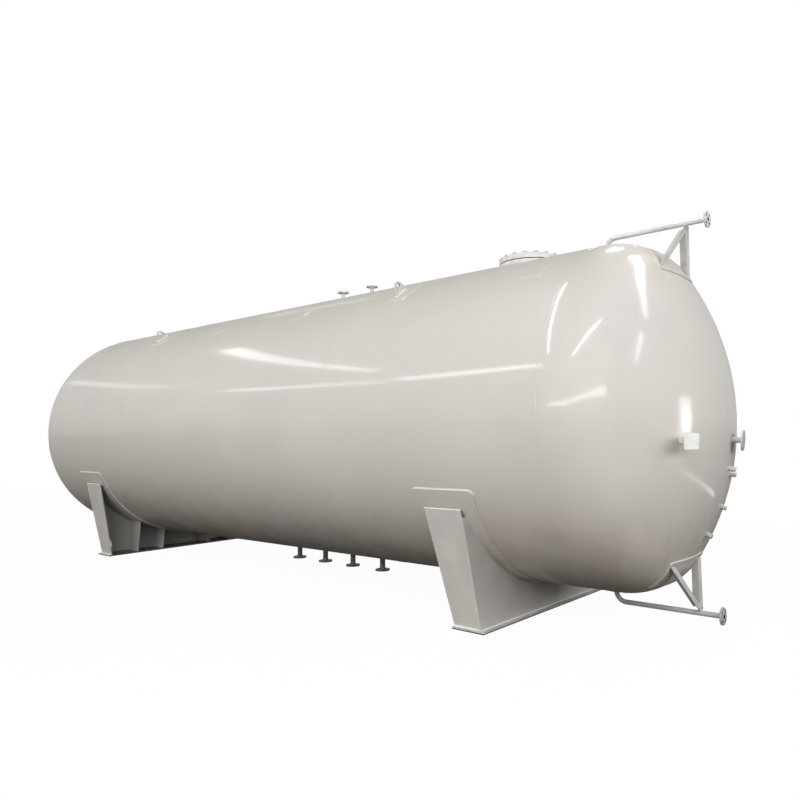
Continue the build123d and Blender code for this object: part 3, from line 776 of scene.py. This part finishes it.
def fillArc(name, x, halfAngle):
    # a rod rolled round the tank under it, between the web and the wear pad; x is from the tank's middle
    centre = (tank["middleX"] + x, 0, tank["axisZ"])
    piece = begin(name, bpy.ops.mesh.primitive_circle_add, vertices=fillet["sides"], radius=fillet["radius"],
                  fill_type="NGON", location=(tank["middleX"] + x, 0, tank["axisZ"] - fillet["seat"]),
                  rotation=(math.pi / 2, 0, 0))
    openUp()
    bpy.ops.mesh.select_all(action="SELECT")
    bpy.ops.transform.rotate(value=-halfAngle, orient_axis="X", center_override=centre)
    bpy.ops.mesh.spin(steps=fillet["arcSteps"], angle=2 * halfAngle, center=centre, axis=(1, 0, 0))
    bpy.ops.mesh.select_all(action="SELECT")
    bpy.ops.mesh.remove_doubles(threshold=fillet["merge"])
    bpy.ops.mesh.normals_make_consistent(inside=False)
    closeUp(piece, smooth["round"])
    restOn(piece, "saddle_paint")


def weldSaddle(label, end, face):
    inner = face - end * fillet["web"]
    foot, half = fillet["baseTop"], fillet["halfFoot"]
    # along the web's foot, on both sides; the outer bead takes the white plate paint, a painted highlight
    reach = half - fillet["footShort"]
    fillRod(f"weldWebFoot{label}", (face, -reach, foot), (face, reach, foot), "plate_paint")
    reach = half - fillet["backShort"]
    fillRod(f"weldWebBack{label}", (inner, -reach, foot), (inner, reach, foot))
    # the end ribs: foot, the web's leaning edge, and top; the foot and top beads take the white plate paint,
    # painted highlights
    lean = (fillet["halfTop"] - half) / (fillet["ribTop"] - foot)
    webRise = fillet["webTop"] - foot
    top, topHalf = fillet["ribTop"], fillet["halfTop"] - fillet["ribShort"]
    for side, word in ((-1, "Front"), (1, "Rear")):
        fillRod(f"weldRibFoot{label}{word}", (face, side * half, foot),
                (face - end * fillet["ribBottom"], side * half, foot), "plate_paint")
        fillRod(f"weldRibEdge{label}{word}", (inner, side * half, foot),
                (inner, side * (half + lean * webRise), foot + webRise))
        fillRod(f"weldRibTop{label}{word}", (inner, side * topHalf, top),
                (face - end * fillet["ribTopWidth"], side * topHalf, top), "plate_paint")
    # the inner ribs: up the web and along the foot, on both sides of each
    for number, y in enumerate(fillet["ribs"], start=1):
        drop = math.sqrt(fillet["seat"] ** 2 - (abs(y) + fillet["ribHalf"]) ** 2)
        height = min(tank["axisZ"] - drop, fillet["ribTop"])
        for hand, word in ((-1, "A"), (1, "B")):
            side = y + hand * fillet["ribHalf"]
            fillRod(f"weldInnerRib{label}{number}{word}", (inner, side, foot),
                    (inner, side, height - fillet["ribShort"]))
            fillRod(f"weldInnerFoot{label}{number}{word}", (inner, side, foot),
                    (face - end * (fillet["ribBottom"] - fillet["ribShort"]), side, foot))
    # round the seat, on both sides of the web
    seatAngle = math.acos((tank["axisZ"] - fillet["webTop"]) / fillet["seat"])
    fillArc(f"weldSeatFace{label}", face - tank["middleX"], seatAngle)
    fillArc(f"weldSeatBack{label}", inner - tank["middleX"], seatAngle)


for label, saddle in saddles.items():
    weldSaddle(label, saddle["end"], tank["middleX"] + saddle["face"])
print("saddles welded up")


# studio: pale floor, soft fills that cast no highlight, and the narrow lamps whose reflections show in the
# paint; the floor turns plain white further from the tank, and its length counts for less there
studio = {"floor": (250, 249, 247), "floorSize": 160, "floorShine": 0.04, "floorGlow": 0.965,
          "floorNear": 4.0, "floorFar": 14.0, "alongShare": 0.3,
          "hallTop": (225, 228, 230), "hallWall": (128, 128, 126), "hallFloor": (76, 71, 65),
          "wall": (0.0, 0.9), "horizon": (-0.25, 0.02), "air": 0.24, "airShine": 0.5}
fills = {
    # place, sizes, watts, colour, aimed at
    "frontHigh": ((2.0, -15.0, 10.0), (14.0, 6.0), 1660, (1.0, 0.99, 0.975), (-2.5, 0, 1.6)),
    "frontLow": ((2.0, -16.0, 5.0), (14.0, 6.0), 650, (1.0, 0.995, 0.985), (-2.5, 0, 1.6)),
    "endFront": ((13.0, -5.0, 5.5), (9.0, 6.0), 600, (0.985, 0.99, 1.0), (1.0, 0, 1.6)),
    "endSide": ((14.0, 5.0, 5.8), (9.0, 6.0), 1050, (0.985, 0.99, 1.0), (1.0, 0, 1.6)),
    "farFill": ((-19.0, -6.0, 6.0), (8.0, 6.0), 1050, (1.0, 0.99, 0.97), (-7.0, 0, 1.8)),
    "lowFill": ((0.0, -9.0, 0.9), (14.0, 1.6), 95, (1.0, 0.98, 0.95), (-1.5, 0, 0.9)),
    "rearFill": ((-4.0, 14.0, 6.5), (12.0, 6.0), 850, (1.0, 0.99, 0.97), (-3.2, 0, 1.6)),
}
lamps = {
    # from, to (from the tank's middle), width, glow, and what it faces where that isn't the tank
    "roofFar": ((-18.6, -3.4, 8.0), (-16.2, -7.1, 8.0), 0.55, 1.6),
    "roofMiddle": ((-8.25, -1.9, 8.0), (-7.2, -5.6, 8.0), 0.55, 5.6),
    "roofMiddleTail": ((-7.2, -5.6, 8.0), (-6.6, -8.2, 8.0), 0.35, 8),
    "roofCrest": ((-9.8, 4.2, 8.0), (-4.6, 3.3, 8.0), 0.60, 0.7),
    "roofNear": ((1.65, -0.7, 8.0), (0.25, -8.4, 8.0), 0.30, 50),
    "roofEnd": ((9.5, -2.5, 8.0), (7.5, -9.0, 8.0), 0.20, 46),
    "sideLineFar": ((-15.8, -10.0, 8.0), (-9.0, -11.2, 8.0), 0.30, 9),
    "sideLineNear": ((-8.1, -11.1, 8.0), (-2.0, -10.4, 8.0), 0.25, 23),
    "headWide": ((5.0, 3.5, 8.0), (8.6, 3.8, 8.0), 0.85, 24),
    "headTail": ((8.6, 3.8, 8.0), (12.2, 4.0, 8.0), 0.50, 9),
    "headThin": ((14.4, 3.7, 8.0), (21.0, 3.6, 8.0), 0.32, 17),
    "headSpot": ((2.5, 3.8, 8.0), (3.3, 3.8, 8.0), 0.80, 40),
    "doorGap": ((14.1, 7.15, 0.9), (14.1, 7.15, 2.3), 0.90, 13),
    "doorHaze": ((14.2, 7.1, 0.5), (14.2, 7.1, 3.2), 1.80, 7),
    "farBandLeft": ((-1.8, -16.4, 3.5), (7.0, -15.0, 3.5), 0.45, 17),
    "farBandMiddle": ((7.0, -15.0, 3.5), (9.0, -11.5, 3.5), 0.45, 13),
    "farBandRight": ((9.0, -11.5, 3.5), (13.1, -2.6, 3.5), 0.60, 10),
    "floorGlint": ((8.5, 2.5, 0.06), (6.0, 4.05, 0.06), 0.42, 2.8, (7.0, 3.4, 2.0)),
}
white = (1, 1, 1, 1)


def paintHall():
    air = Paint(bpy.data.worlds.new("hall"))
    up = air.axes(air.node("ShaderNodeTexCoord", out="Generated"))[2]
    tone = air.blend(air.step(up, *studio["wall"]), studio["hallWall"], studio["hallTop"])
    tone = air.blend(air.step(up, *studio["horizon"]), studio["hallFloor"], tone)
    hall = air.node("ShaderNodeBackground", inputs={"Color": tone, "Strength": studio["air"]})
    bright = air.node("ShaderNodeBackground", inputs={"Color": white, "Strength": 1.0})
    seen = air.ray("Is Camera Ray") + air.ray("Is Transmission Ray")
    seen = seen + studio["airShine"] * air.ray("Is Glossy Ray")
    both = air.node("ShaderNodeMixShader", inputs={0: seen, 1: hall, 2: bright})
    bpy.context.scene.world = air.show(both, "ShaderNodeOutputWorld")


def layFloor():
    floor = begin("floor", bpy.ops.mesh.primitive_plane_add, size=studio["floorSize"])
    lino = Paint(bpy.data.materials.new("floor"))
    camera = lino.ray("Is Camera Ray")
    seen = camera + lino.ray("Is Transmission Ray") + studio["floorShine"] * lino.ray("Is Glossy Ray")
    tone = lino.blend(camera, studio["hallFloor"], studio["floor"])
    # plain white further out, so that no horizon shows
    x, y, z = lino.axes(lino.place())
    along = x - tank["middleX"]
    away = (along * along * studio["alongShare"] + y * y) ** 0.5
    far = lino.step(away, studio["floorNear"], studio["floorFar"])
    share = studio["floorGlow"] + (1 - studio["floorGlow"]) * far
    matt = lino.node("ShaderNodeBsdfDiffuse", inputs={"Color": tone})
    glow = lino.node("ShaderNodeEmission", inputs={"Color": white, "Strength": 1.0})
    both = lino.node("ShaderNodeMixShader", inputs={0: seen * share, 1: matt, 2: glow})
    floor.data.materials.append(lino.show(both))


def hangArea(name, length, width):
    bpy.ops.object.light_add(type="AREA")
    lamp = bpy.context.object
    lamp.name = name
    lamp.data.shape = "RECTANGLE"
    lamp.data.size, lamp.data.size_y = length, width
    return lamp


def hangFill(name, centre, sizes, watts, colour, aim):
    # a large soft lamp that lights the paint and isn't mirrored in it
    lamp = hangArea(name, *sizes)
    lamp.data.energy = watts
    lamp.data.color = colour
    lamp.location = centre
    lamp.rotation_euler = (Vector(aim) - Vector(centre)).to_track_quat("-Z", "Y").to_euler()
    lamp.visible_glossy = False


def hangLamp(name, start, end, width, glow, aim=(0.0, 0.0, tank["axisZ"])):
    # a narrow lamp from start to end, turned about its length to face its aim, that only shows mirrored in
    # the paint; glow is how bright it looks
    first, last = Vector(start), Vector(end)
    middle = (first + last) / 2
    along = (last - first).normalized()
    away = middle - Vector(aim)
    away = (away - away.dot(along) * along).normalized()
    lamp = hangArea(name, (last - first).length, width)
    lamp.data.energy = glow * math.pi * lamp.data.size * width
    turn = Matrix((along, away.cross(along), away)).transposed().to_4x4()
    lamp.matrix_world = Matrix.Translation(middle + Vector((tank["middleX"], 0, 0))) @ turn
    lamp.visible_diffuse = False


paintHall()
layFloor()
for name, fill in fills.items():
    hangFill(name, *fill)
for name, lamp in lamps.items():
    hangLamp(name, *lamp)
print("studio lit")
